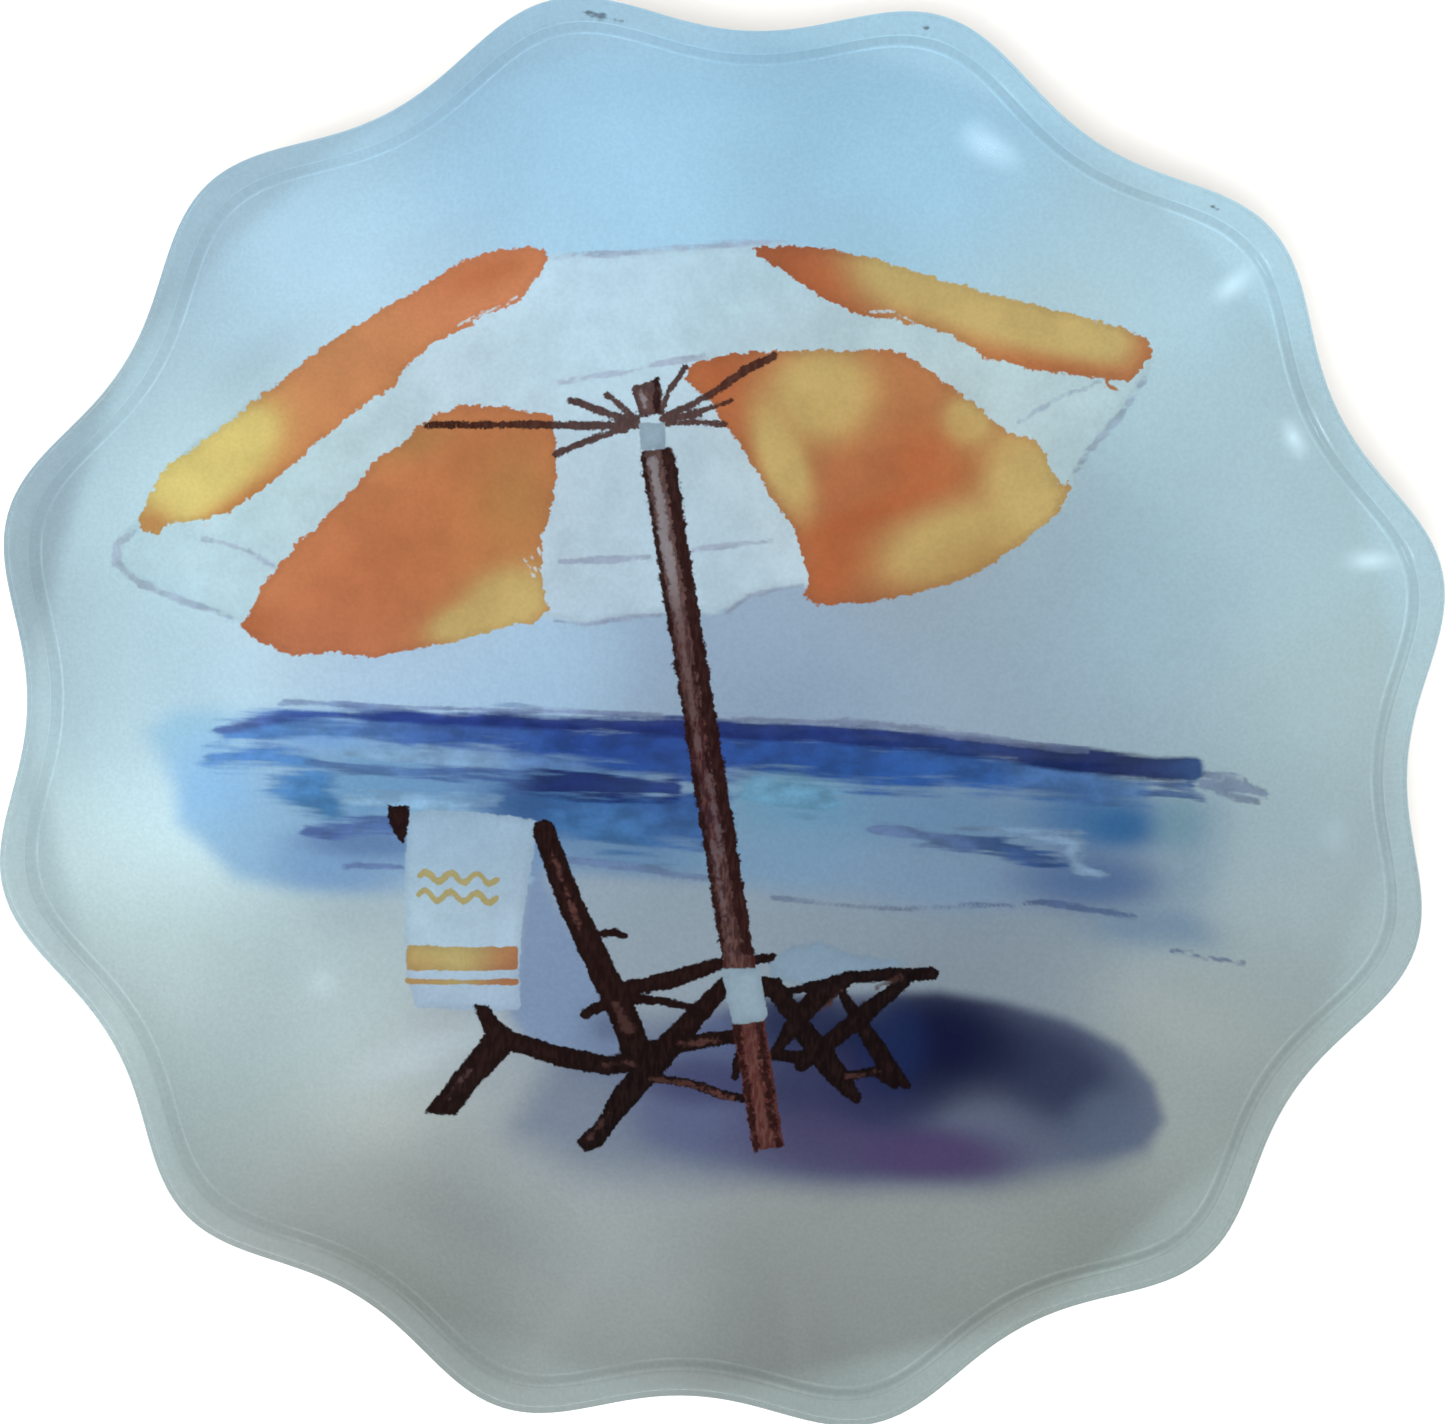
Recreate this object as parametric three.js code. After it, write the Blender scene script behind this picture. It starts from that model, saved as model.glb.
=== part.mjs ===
// Souvenir plate: a scalloped clear-glass dish with a printed sheet and a sealed backing glued under it, on four
// stick-on bumpers. Millimetres, +Z up. The origin is on the table, under the centre of the plate. The top of the
// printed picture is towards +Y.

import * as THREE from 'three';
import { mergeVertices } from 'three/addons/utils/BufferGeometryUtils.js';

// Outline: the radius swings once per lobe round a mean radius, and a second, finer swing sharpens the tips.
const WIDTH_ACROSS_TIPS = 203;
const LOBE_COUNT = 12;
const LOBE_SWING = 3.2;
const LOBE_SHARPENING = 0.19;

// Section of the upper glass face: a flat well, a wall that curves up, and a flatter lip.
const WELL_RADIUS = 66;
const WALL_TOP_SLOPE = THREE.MathUtils.degToRad(38);
const LIP_WIDTH = 3.6;
const LIP_SLOPE = THREE.MathUtils.degToRad(15);
const EDGE_ARRIS = 0.4;
const FLUTE_DEPTH = 1.0;

// Layers from the top down. A thin film of glue lies between each two.
const GLASS_THICKNESS = 3.0;
const PRINT_THICKNESS = 0.25;
const BACKING_THICKNESS = 0.35;
const GLUE_FILM = 0.3;
const PRINT_INSET = 0.5;
const BACKING_INSET = 0.9;

// Bumpers.
const FOOT_COUNT = 4;
const FOOT_RADIUS = 4;
const FOOT_HEIGHT = 2.2;
const FOOT_FLAT_RADIUS = 2.4;
const FOOT_RIM_HEIGHT = 0.5;
const FOOT_CIRCLE_RADIUS = 46;

// Facets.
const STEPS_PER_LOBE = 8;
const WALL_STEPS = 4;
const FOOT_STEPS = 16;
const FOOT_DOME_STEPS = 3;
const MERGE_TOLERANCE = 1e-4;

// Sizes that follow from the ones above.
const EDGE_RADIUS = WIDTH_ACROSS_TIPS / 2 - LOBE_SWING - LOBE_SHARPENING;
const CREASE_RADIUS = EDGE_RADIUS - LIP_WIDTH;
const WALL_ARC_RADIUS = (CREASE_RADIUS - WELL_RADIUS) / Math.sin(WALL_TOP_SLOPE);
const PRINT_DEPTH = GLASS_THICKNESS + GLUE_FILM;
const BACKING_DEPTH = PRINT_DEPTH + PRINT_THICKNESS + GLUE_FILM;
const WELL_TOP = FOOT_HEIGHT + GLUE_FILM + BACKING_THICKNESS + BACKING_DEPTH;
const WALL_ARC_CENTRE_Z = WELL_TOP + WALL_ARC_RADIUS;

// The corner between wall and lip keeps both at full thickness below it: each step down moves it along this mitre.
const wallNormal = new THREE.Vector2(Math.sin(WALL_TOP_SLOPE), -Math.cos(WALL_TOP_SLOPE));
const lipNormal = new THREE.Vector2(Math.sin(LIP_SLOPE), -Math.cos(LIP_SLOPE));
const creaseMitre = wallNormal.clone().add(lipNormal).divideScalar(1 + wallNormal.dot(lipNormal));
const creaseTop = new THREE.Vector2(
  CREASE_RADIUS,
  WALL_ARC_CENTRE_Z - WALL_ARC_RADIUS * Math.cos(WALL_TOP_SLOPE)
);

// Height of the lip at a radius, at a depth below the upper glass face.
function lipHeight(depth, radius) {
  const crease = creaseTop.clone().addScaledVector(creaseMitre, depth);
  return crease.y + (radius - crease.x) * Math.tan(LIP_SLOPE);
}

// Section of the surface at a depth below the upper glass face, from the axis out to a radius on the lip.
function surfaceSection(depth, outerRadius) {
  const points = [new THREE.Vector2(0, WELL_TOP - depth)];
  for (let step = 0; step < WALL_STEPS; step += 1) {
    const slope = (WALL_TOP_SLOPE * step) / WALL_STEPS;
    points.push(
      new THREE.Vector2(
        WELL_RADIUS + (WALL_ARC_RADIUS + depth) * Math.sin(slope),
        WALL_ARC_CENTRE_Z - (WALL_ARC_RADIUS + depth) * Math.cos(slope)
      )
    );
  }
  points.push(creaseTop.clone().addScaledVector(creaseMitre, depth));
  points.push(new THREE.Vector2(outerRadius, lipHeight(depth, outerRadius)));
  return points;
}

// How far out on the wall a radius is: 0 in the well, 1 from the crease outwards.
function wallShare(radius) {
  return THREE.MathUtils.clamp((radius - WELL_RADIUS) / (CREASE_RADIUS - WELL_RADIUS), 0, 1);
}

// Turns a round dish into the scalloped one. The round well stays; the wall takes up the lobes and its flutes.
function scallop(geometry) {
  const position = geometry.getAttribute('position');
  for (let i = 0; i < position.count; i += 1) {
    const x = position.getX(i);
    const y = position.getY(i);
    const radius = Math.hypot(x, y);
    const share = wallShare(radius);
    const lobe = -Math.cos(LOBE_COUNT * Math.atan2(y, x));
    const swing = LOBE_SWING * lobe + LOBE_SHARPENING * (2 * lobe * lobe - 1);
    const stretch = 1 + (swing * THREE.MathUtils.smoothstep(share, 0, 1)) / EDGE_RADIUS;
    const flute = FLUTE_DEPTH * lobe * Math.sin(Math.PI * share) ** 2;
    position.setXYZ(i, x * stretch, y * stretch, position.getZ(i) - flute);
  }
}

// A closed solid turned about Z from a section that starts and ends on the axis, bottom first.
function turned(section, steps) {
  const geometry = new THREE.LatheGeometry(section, steps);
  geometry.rotateX(Math.PI / 2);
  geometry.deleteAttribute('uv');
  geometry.deleteAttribute('normal');
  return geometry;
}

function finished(geometry) {
  const merged = mergeVertices(geometry, MERGE_TOLERANCE);
  merged.computeVertexNormals();
  return merged;
}

// A scalloped layer between two depths below the upper glass face.
function layerGeometry(topDepth, bottomDepth, edgeInset, arris) {
  const edge = EDGE_RADIUS - edgeInset;
  const underside = surfaceSection(bottomDepth, edge - arris);
  const face = surfaceSection(topDepth, edge - arris);
  const side = [];
  if (arris > 0) {
    side.push(new THREE.Vector2(edge, lipHeight(bottomDepth, edge) + arris));
    side.push(new THREE.Vector2(edge, lipHeight(topDepth, edge) - arris));
  }
  const geometry = turned([...underside, ...side, ...face.reverse()], LOBE_COUNT * STEPS_PER_LOBE);
  scallop(geometry);
  return finished(geometry);
}

// A bumper: a flat foot face, a rounded side and a flat glued face.
function footGeometry() {
  const section = [new THREE.Vector2(0, 0)];
  const domeHeight = FOOT_HEIGHT - FOOT_RIM_HEIGHT;
  for (let step = 0; step <= FOOT_DOME_STEPS; step += 1) {
    const turn = (Math.PI / 2) * (step / FOOT_DOME_STEPS);
    section.push(
      new THREE.Vector2(
        FOOT_FLAT_RADIUS + (FOOT_RADIUS - FOOT_FLAT_RADIUS) * Math.sin(turn),
        domeHeight * (1 - Math.cos(turn))
      )
    );
  }
  section.push(new THREE.Vector2(FOOT_RADIUS, FOOT_HEIGHT));
  section.push(new THREE.Vector2(0, FOOT_HEIGHT));
  return finished(turned(section, FOOT_STEPS));
}

function namedMesh(name, geometry, material) {
  const mesh = new THREE.Mesh(geometry, material);
  mesh.name = name;
  return mesh;
}

const clearGlass = new THREE.MeshStandardMaterial({
  color: 0xdcebe8,
  roughness: 0.05,
  metalness: 0,
  transparent: true,
  opacity: 0.35,
});
const printedPaper = new THREE.MeshStandardMaterial({ color: 0xa4bcc8, roughness: 0.75, metalness: 0 });
const sealedPaper = new THREE.MeshStandardMaterial({ color: 0xe6e0d2, roughness: 0.6, metalness: 0 });
const clearRubber = new THREE.MeshStandardMaterial({ color: 0xd3d6d4, roughness: 0.35, metalness: 0 });

const plate = new THREE.Group();
plate.name = 'souvenir_plate';

plate.add(namedMesh('glass_plate', layerGeometry(0, GLASS_THICKNESS, 0, EDGE_ARRIS), clearGlass));
plate.add(
  namedMesh(
    'art_print',
    layerGeometry(PRINT_DEPTH, PRINT_DEPTH + PRINT_THICKNESS, PRINT_INSET, 0),
    printedPaper
  )
);
plate.add(
  namedMesh(
    'backing_sheet',
    layerGeometry(BACKING_DEPTH, BACKING_DEPTH + BACKING_THICKNESS, BACKING_INSET, 0),
    sealedPaper
  )
);

for (let foot = 0; foot < FOOT_COUNT; foot += 1) {
  const bearing = (2 * Math.PI * (foot + 0.5)) / FOOT_COUNT;
  const mesh = namedMesh(`foot_${foot + 1}`, footGeometry(), clearRubber);
  mesh.position.set(FOOT_CIRCLE_RADIUS * Math.cos(bearing), FOOT_CIRCLE_RADIUS * Math.sin(bearing), 0);
  plate.add(mesh);
}

export default plate;
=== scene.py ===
"""Looks of the souvenir plate: a clear scalloped glass dish over a watercolour print of a beach.

Shapes and painting are worked out in millimetres and turned into metres when a mesh is made. The painted
scene lies in the plate's own plane: x to the right, y towards the top of the picture, both from the centre.
"""

import math

import bpy
import numpy as np
from mathutils import Matrix, Vector


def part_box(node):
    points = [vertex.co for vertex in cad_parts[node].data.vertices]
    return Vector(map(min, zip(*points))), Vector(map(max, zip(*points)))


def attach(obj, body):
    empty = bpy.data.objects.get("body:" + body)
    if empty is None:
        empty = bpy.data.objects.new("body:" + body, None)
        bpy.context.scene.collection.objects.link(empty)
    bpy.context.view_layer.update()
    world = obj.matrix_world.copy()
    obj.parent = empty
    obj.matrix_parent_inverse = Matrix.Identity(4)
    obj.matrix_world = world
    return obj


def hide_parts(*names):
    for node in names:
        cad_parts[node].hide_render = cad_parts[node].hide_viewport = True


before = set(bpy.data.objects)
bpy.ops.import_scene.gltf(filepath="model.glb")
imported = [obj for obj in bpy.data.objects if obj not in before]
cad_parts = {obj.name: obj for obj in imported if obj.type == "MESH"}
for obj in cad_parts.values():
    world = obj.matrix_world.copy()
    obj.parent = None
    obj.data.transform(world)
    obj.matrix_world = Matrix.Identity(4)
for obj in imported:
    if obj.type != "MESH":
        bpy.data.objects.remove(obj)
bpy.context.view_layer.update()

MM = 0.001

# ---------------------------------------------------------------- sizes, the same as the solid model's
WIDTH_ACROSS_TIPS = 203.0
LOBE_COUNT = 12
LOBE_SWING = 3.2
LOBE_SHARPENING = 0.19
WELL_RADIUS = 66.0
WALL_TOP_SLOPE = math.radians(38)
LIP_WIDTH = 3.6
LIP_SLOPE = math.radians(15)
EDGE_ARRIS = 0.4
FLUTE_DEPTH = 1.0
GLASS_THICKNESS = 3.0

EDGE_RADIUS = WIDTH_ACROSS_TIPS / 2 - LOBE_SWING - LOBE_SHARPENING
CREASE_RADIUS = EDGE_RADIUS - LIP_WIDTH
WALL_ARC_RADIUS = (CREASE_RADIUS - WELL_RADIUS) / math.sin(WALL_TOP_SLOPE)

# ---------------------------------------------------------------- sizes that only the looks need
CREASE_BLEND = 0.9
GROOVE_DEPTH = 0.16
GROOVE_WIDTH = 0.32
WELL_RING_GAP = 11.0
WALL_RING_GAP = 1.0
CREASE_RING_GAP = 0.12
GLUE_SOAK = 0.02
GLUE_FILM = 0.05
PRINT_THICKNESS = 0.4
PRINT_INSET = 0.08
BACKING_INSET = 0.8
FOOT_SINK = 0.02
FOOT_FLAT_SHARE = 0.6
FOOT_DOME_SHARE = 0.75
FOOT_ARRIS = 0.1
# Width of the painted shade band along the fold under the crease, and of the painted highlight line on each
# side of it.
FOLD_SHADE_WIDTH = 0.8
FOLD_HIGHLIGHT_WIDTH = 0.25

WELL_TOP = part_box("glass_plate")[0][2] / MM + GLASS_THICKNESS
BACKING_BOTTOM = WELL_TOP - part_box("backing_sheet")[0][2] / MM
PRINT_TOP = GLASS_THICKNESS - GLUE_SOAK
BACKING_TOP = PRINT_TOP + PRINT_THICKNESS + GLUE_FILM


def smoothstep(value):
    share = np.clip(value, 0.0, 1.0)
    return share * share * (3.0 - 2.0 * share)


def store_number(mesh, name, values):
    mesh.attributes.new(name, "FLOAT", "POINT").data.foreach_set("value", values.astype(np.float32))


def store_colour(mesh, name, values):
    rgba = np.ones((len(values), 4), dtype=np.float32)
    rgba[:, :3] = values
    mesh.attributes.new(name, "FLOAT_COLOR", "POINT").data.foreach_set("color", rgba.ravel())


# ---------------------------------------------------------------- the dish
def slope_at(radius, depth):
    """Slope of the surface `depth` under the upper face: level well, wall curving up, flatter lip."""
    wall = np.arcsin(np.clip((radius - WELL_RADIUS) / (WALL_ARC_RADIUS + depth), 0.0, 0.9))
    crease = CREASE_RADIUS + depth * math.sin((WALL_TOP_SLOPE + LIP_SLOPE) / 2)
    turn = smoothstep((radius - crease) / CREASE_BLEND + 0.5)
    return wall + (LIP_SLOPE - wall) * turn


def surface_height(radius, depth):
    """Height of that surface before the flutes are pressed into it."""
    table_radius = np.linspace(0.0, EDGE_RADIUS + 1.0, 6000)
    steps = np.tan(slope_at(table_radius, depth)) * (table_radius[1] - table_radius[0])
    return WELL_TOP - depth + np.interp(radius, table_radius, np.cumsum(steps))


def pressed_groove(radius):
    """The shallow line pressed into the upper face where the lip starts."""
    return GROOVE_DEPTH * np.exp(-(((radius - CREASE_RADIUS - GROOVE_WIDTH) / GROOVE_WIDTH) ** 2))


def scalloped(radius, angle, height):
    """Points of a round dish moved into the scalloped one: the wall takes up the lobes and their flutes."""
    share = np.clip((radius - WELL_RADIUS) / (CREASE_RADIUS - WELL_RADIUS), 0.0, 1.0)
    lobe = -np.cos(LOBE_COUNT * angle)
    swing = LOBE_SWING * lobe + LOBE_SHARPENING * (2.0 * lobe * lobe - 1.0)
    stretch = 1.0 + swing * smoothstep(share) / EDGE_RADIUS
    flute = FLUTE_DEPTH * lobe * np.sin(math.pi * share) ** 2
    reach = radius * stretch
    return np.stack([reach * np.cos(angle), reach * np.sin(angle), height - flute], axis=-1)


def turned_mesh(name, section, steps):
    """A closed scalloped solid from a section of (radius, height) rows that starts and ends on the axis."""
    inner = np.asarray(section[1:-1])
    rows = len(inner)
    angles = np.arange(steps) * (2.0 * math.pi / steps)
    radius, angle = np.meshgrid(inner[:, 0], angles, indexing="ij")
    height = np.repeat(inner[:, 1][:, None], steps, axis=1)
    ring_points = scalloped(radius, angle, height).reshape(-1, 3)
    poles = np.array([[0.0, 0.0, section[0][1]], [0.0, 0.0, section[-1][1]]])
    points = np.concatenate([ring_points, poles]) * MM
    here = np.arange(steps)
    after = (here + 1) % steps
    row = np.arange(rows - 1)[:, None] * steps
    quads = np.stack(
        [row + here, row + after, row + steps + after, row + steps + here], axis=-1,
    ).reshape(-1, 4)
    last = (rows - 1) * steps
    first_cap = np.stack([np.full(steps, rows * steps), after, here], axis=-1)
    last_cap = np.stack([np.full(steps, rows * steps + 1), last + here, last + after], axis=-1)
    mesh = bpy.data.meshes.new(name)
    mesh.from_pydata(points.tolist(), [], quads.tolist() + first_cap.tolist() + last_cap.tolist())
    mesh.polygons.foreach_set("use_smooth", np.ones(len(mesh.polygons), dtype=bool))
    mesh.update()
    store_number(mesh, "ring_radius", np.concatenate([radius.ravel(), [0.0, 0.0]]))
    piece = bpy.data.objects.new(name, mesh)
    bpy.context.scene.collection.objects.link(piece)
    return piece


def face_rows(depth, radii, groove=False):
    """Section rows along one face, from the axis out."""
    height = surface_height(radii, depth)
    if groove:
        height = height - pressed_groove(radii)
    return np.stack([radii, height], axis=-1)


def spaced(start, end, step):
    return np.linspace(start, end, max(2, int(round((end - start) / step)) + 1))


def dish_radii(outer):
    """Ring radii that are wide apart in the flat well and close together at the crease."""
    crease_start = CREASE_RADIUS - 1.0
    return np.unique(
        np.concatenate(
            [
                spaced(0.0, WELL_RADIUS, WELL_RING_GAP),
                spaced(WELL_RADIUS, crease_start, WALL_RING_GAP),
                spaced(crease_start, outer, CREASE_RING_GAP),
            ]
        )
    )


def rounded_edge(edge, low, high, arris):
    """Section rows round the outer edge, from the underside's last row to the upper face's."""
    rows = []
    for centre_height, start in ((low + arris, -0.5), (high - arris, 0.0)):
        for share in (0.0, 0.25, 0.5, 0.75, 1.0):
            turn = math.pi * (start + share / 2)
            rows.append((edge - arris + arris * math.cos(turn), centre_height + arris * math.sin(turn)))
    return np.array(rows)


def layer_section(top, bottom, inset, arris, top_radii=None, groove=False):
    """Closed section of a layer between two depths, underside first."""
    edge = EDGE_RADIUS - inset
    flat_end = edge - arris
    under = face_rows(bottom, dish_radii(flat_end))
    upper_radii = dish_radii(flat_end) if top_radii is None else top_radii
    upper = face_rows(top, upper_radii, groove)
    low = float(surface_height(np.array([flat_end]), bottom)[0])
    high = float(surface_height(np.array([flat_end]), top)[0])
    rim = rounded_edge(edge, low, high, arris)
    return np.concatenate([under[:-1], rim, upper[::-1][1:]])


# ---------------------------------------------------------------- painting tools
def linear(red, green, blue):
    """Colour as the eye reads it, 0 to 255, as the light that Blender mixes."""
    shares = np.array([red, green, blue]) / 255.0
    return np.where(shares <= 0.04045, shares / 12.92, ((shares + 0.055) / 1.055) ** 2.4)


class Paper:
    """The sheet that is painted: its points, and the ways to lay shapes and colour on them."""

    def __init__(self, points):
        self.x = points[:, 0]
        self.y = points[:, 1]

    def segment(self, start, end):
        """Distance to a segment, and how far along it the nearest point is, 0 to 1."""
        (ax, ay), (bx, by) = start, end
        dx, dy = bx - ax, by - ay
        length_squared = dx * dx + dy * dy
        along = np.clip(((self.x - ax) * dx + (self.y - ay) * dy) / length_squared, 0.0, 1.0)
        return np.hypot(self.x - ax - along * dx, self.y - ay - along * dy), along

    def stroke(self, *stops):
        """Signed distance to a brush stroke through (x, y, width) stops: negative inside."""
        best = np.full(len(self.x), 1e3)
        for (ax, ay, start_width), (bx, by, end_width) in zip(stops, stops[1:]):
            distance, along = self.segment((ax, ay), (bx, by))
            best = np.minimum(best, distance - (start_width + (end_width - start_width) * along) / 2)
        return best

    def strokes(self, rows):
        """Signed distance to the nearest of several brush strokes."""
        return together(*(self.stroke(*stops) for stops in rows))

    def area(self, *corners):
        """Signed distance to a closed shape: negative inside."""
        best = np.full(len(self.x), 1e3)
        inside = np.zeros(len(self.x), dtype=bool)
        for (ax, ay), (bx, by) in zip(corners, corners[1:] + corners[:1]):
            best = np.minimum(best, self.segment((ax, ay), (bx, by))[0])
            crosses = (ay > self.y) != (by > self.y)
            if ay != by:
                inside ^= crosses & (self.x < (bx - ax) * (self.y - ay) / (by - ay) + ax)
        return np.where(inside, -best, best)

    def pool(self, x, y, half_width, half_height, tilt=0.0, firmness=1.0):
        """A soft pool of wet colour: 1 in the middle, fading out past its ellipse, faster when firmer."""
        turn = math.radians(tilt)
        along = (self.x - x) * math.cos(turn) + (self.y - y) * math.sin(turn)
        across = (self.y - y) * math.cos(turn) - (self.x - x) * math.sin(turn)
        return np.exp(-(((along / half_width) ** 2 + (across / half_height) ** 2) ** firmness))

    def plain(self, colour):
        return np.tile(linear(*colour), (len(self.x), 1))

    def blend(self, reach, *anchors):
        """Colour that runs smoothly between (x, y, colour) anchors."""
        total = np.full(len(self.x), 1e-9)
        colour = np.zeros((len(self.x), 3))
        for x, y, shade in anchors:
            weight = np.exp(-((self.x - x) ** 2 + (self.y - y) ** 2) / (2.0 * reach * reach))
            total += weight
            colour += weight[:, None] * linear(*shade)
        return colour / total[:, None]


def soak(colour, shade, amount):
    """Lays a shade over a colour by an amount per point."""
    return colour + (linear(*shade) - colour) * np.clip(amount, 0.0, 1.0)[:, None]


def soft(distance, blur):
    """Turns a signed distance into how much of the shape covers a point, with a blurred edge."""
    return 1.0 - smoothstep(distance / blur + 0.5)


def together(*distances):
    return np.minimum.reduce(distances)


# ---------------------------------------------------------------- the painted scene
def sky_and_sand_with_painted_light(paper):
    # Print colours of the sky and sand with painted light in them: brighter to the left, darker towards the
    # bottom.
    anchors = (
        (-60, 68, (180, 212, 230)), (-78, 45, (190, 218, 231)), (-30, 82, (168, 204, 226)),
        (25, 84, (160, 197, 218)), (55, 62, (175, 203, 215)), (80, 35, (174, 198, 206)),
        (88, 5, (180, 200, 204)), (60, 20, (158, 182, 195)), (-90, 5, (196, 220, 228)),
        (-75, 5, (186, 214, 228)), (-35, 3, (168, 197, 221)), (5, 8, (150, 171, 192)),
        (35, 10, (153, 172, 187)), (-88, -25, (212, 234, 238)), (-84, -42, (196, 212, 212)),
        (-62, -45, (176, 194, 198)), (-48, -65, (182, 190, 188)), (-40, -78, (150, 157, 155)),
        (-18, -84, (162, 170, 169)), (20, -84, (148, 154, 153)), (55, -72, (153, 161, 158)),
        (75, -50, (156, 166, 164)), (86, -30, (170, 183, 185)), (76, -12, (148, 168, 178)),
        (40, -31, (134, 148, 159)), (10, -29, (142, 156, 168)), (-12, -30, (152, 168, 180)),
        (-20, -55, (154, 163, 172)),
    )
    return paper.blend(12.0, *anchors)


def sea(paper, colour):
    """The wet under-wash of the sea: pale blues that run into each other inside one wet edge."""
    shape = paper.area(
        (-60, 0.6), (-69, -0.6), (-77, -1.6), (-80.6, -4.5), (-78.5, -8.5), (-76.5, -13), (-76, -18),
        (-72, -21), (-67.5, -26), (-58, -27.4), (-44, -27.6), (-24, -24), (-2, -24.6), (20, -27.6),
        (44, -29.6), (60, -31), (74, -31.2), (71, -25), (72.5, -14), (75, -6), (66, -1), (20, 0.6),
    )
    blur = 4.2 + 6.0 * smoothstep((paper.x - 52.0) / 14.0)
    wet = soft(shape, blur)
    pools = (
        (-75, -4.5, 8, 5.5, 0, (164, 204, 226), 0.9), (-71, -14, 9, 9, 0, (146, 190, 226), 0.95),
        (-64, -22, 12, 7, 0, (144, 180, 208), 0.95), (-53, -24, 10, 5, 0, (120, 154, 192), 0.9),
        (-36, -21, 16, 5, 0, (126, 158, 192), 0.85), (-48, -12, 16, 8.5, 0, (106, 150, 188), 0.9),
        (-57, -4, 9, 3.0, 0, (116, 160, 210), 0.9), (-49, -19.8, 10, 2.2, 0, (96, 124, 166), 0.85),
        (-22, -12, 18, 9, 0, (84, 128, 172), 0.9), (-25, -13.5, 8, 4.0, 0, (40, 78, 132), 0.8),
        (-8, -20, 14, 3.5, 0, (98, 136, 172), 0.85), (12, -12, 15, 7.5, 0, (108, 152, 180), 0.95),
        (12, -20, 15, 5, 0, (122, 154, 182), 0.9), (34, -12.5, 16, 7, -3, (104, 138, 170), 0.9),
        (55, -12, 11, 5.5, -3, (64, 108, 154), 0.95), (33, -22, 14, 4.5, 0, (122, 148, 175), 0.9),
        (54, -21, 12, 4.5, 0, (76, 104, 146), 0.9), (70, -16, 6, 10, 0, (130, 154, 172), 0.7),
        (58, -13, 4.5, 2.6, 0, (36, 92, 142), 0.6), (66, -12, 4, 4, 0, (108, 146, 160), 0.6),
        (64, -27.6, 11, 3.6, -2, (112, 136, 160), 0.85),
    )
    return painted_pools(paper, colour, pools, 1.6, wet)


def sea_strokes(paper):
    """Broad flat-brush strokes of strong blue over the under-wash."""
    strokes = (
        ((-69, -5.2, 2.4), (-63, -4.2, 4.2), (-56, -2.6, 3.0), (-46, -3.4, 4.8), (-30, -3.6, 5.0),
         (-15, -4.6, 6.8), (-2, -5.2, 8.2)),
        ((-71, -8.4, 1.8), (-64, -7.8, 3.2), (-57, -8.6, 2.0)),
        ((1, -4.4, 7.0), (14, -4.2, 6.2), (22, -5.4, 7.4), (31, -4.8, 6.6), (46, -6.4, 5.4),
         (60, -7.6, 3.4)),
        ((-62, -12.4, 3.0), (-57, -12.6, 6.4), (-54, -15.6, 3.6)),
        ((-22, -15.0, 4.0), (-14, -15.4, 8.0), (-2, -14.6, 8.5)),
    )
    tint = paper.blend(
        4.5, (-66, -4.5, (70, 112, 176)), (-57, -3, (96, 136, 190)), (-50, -3, (84, 122, 180)),
        (-44, -4, (56, 90, 152)), (-34, -4, (46, 80, 148)), (-66, -8.5, (92, 144, 202)),
        (-15, -5, (26, 60, 136)), (-4, -7, (28, 62, 134)), (-57, -12, (64, 122, 172)),
        (-55, -16, (78, 126, 170)), (-15, -16, (66, 112, 162)), (-3, -15, (58, 98, 152)),
        (8, -5, (34, 72, 142)), (22, -6, (34, 76, 144)), (33, -5.5, (40, 84, 150)),
        (50, -7, (66, 104, 156)), (61, -8, (78, 112, 152)),
    )
    return paper.strokes(strokes), tint


def deep_strokes(paper):
    """Navy and violet strokes laid last on the sea."""
    strokes = (
        ((-57, -8.8, 0.8), (-46, -8.9, 1.5), (-32, -9.8, 2.0), (-18, -10.3, 3.4), (-6, -10.1, 3.2)),
        ((-57.5, -18.2, 1.2), (-53, -17.8, 2.6), (-46, -17.2, 2.0)),
        ((23, -14.8, 1.4), (31, -15.4, 2.2), (40, -16.6, 3.0), (45, -17.4, 2.6), (50, -18.3, 1.2)),
        ((60, -7.8, 0.9), (66, -8.0, 1.4), (69, -8.4, 0.7)),
        ((60, -6.8, 0.8), (64, -6.8, 1.8), (67, -6.5, 1.2)),
    )
    tint = paper.blend(
        4.5, (-50, -9, (92, 126, 172)), (-36, -9.5, (74, 104, 158)), (-18, -10, (22, 32, 92)),
        (-6, -10, (28, 50, 116)), (-52, -18, (78, 100, 156)), (24, -15, (98, 118, 154)),
        (32, -15.5, (84, 106, 146)), (43, -17, (46, 78, 132)), (65, -8, (72, 98, 142)),
    )
    return paper.strokes(strokes), tint


def pale_strokes(paper):
    """Bare paper and thin wash left between the sea's strokes."""
    strokes = (
        ((-52, -7.2, 1.4), (-40, -7.2, 2.6), (-27, -7.3, 2.0), (-19, -7.5, 0.8)),
        ((-52, -13.6, 1.6), (-43, -13.8, 3.2), (-35, -13.6, 2.0), (-31, -13.4, 0.8)),
        ((34, -14.2, 0.8), (44, -14.6, 1.4), (51.5, -15.2, 1.2), (50.6, -17.0, 1.6), (52.4, -19.4, 1.8),
         (55, -20, 0.8)),
        ((6, -9.6, 4.0), (11, -10.2, 5.0), (16, -10.8, 3.0)), ((-40, -24.6, 1.2), (-26, -24.2, 1.0)),
    )
    tint = paper.blend(
        5.0, (-40, -7, (128, 160, 194)), (-20, -8, (96, 132, 182)), (-42, -13.5, (144, 182, 208)),
        (40, -14.5, (120, 148, 176)), (52, -17, (128, 154, 180)), (11, -10, (102, 150, 178)),
        (-34, -24, (140, 166, 190)),
    )
    return paper.strokes(strokes), tint


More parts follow.
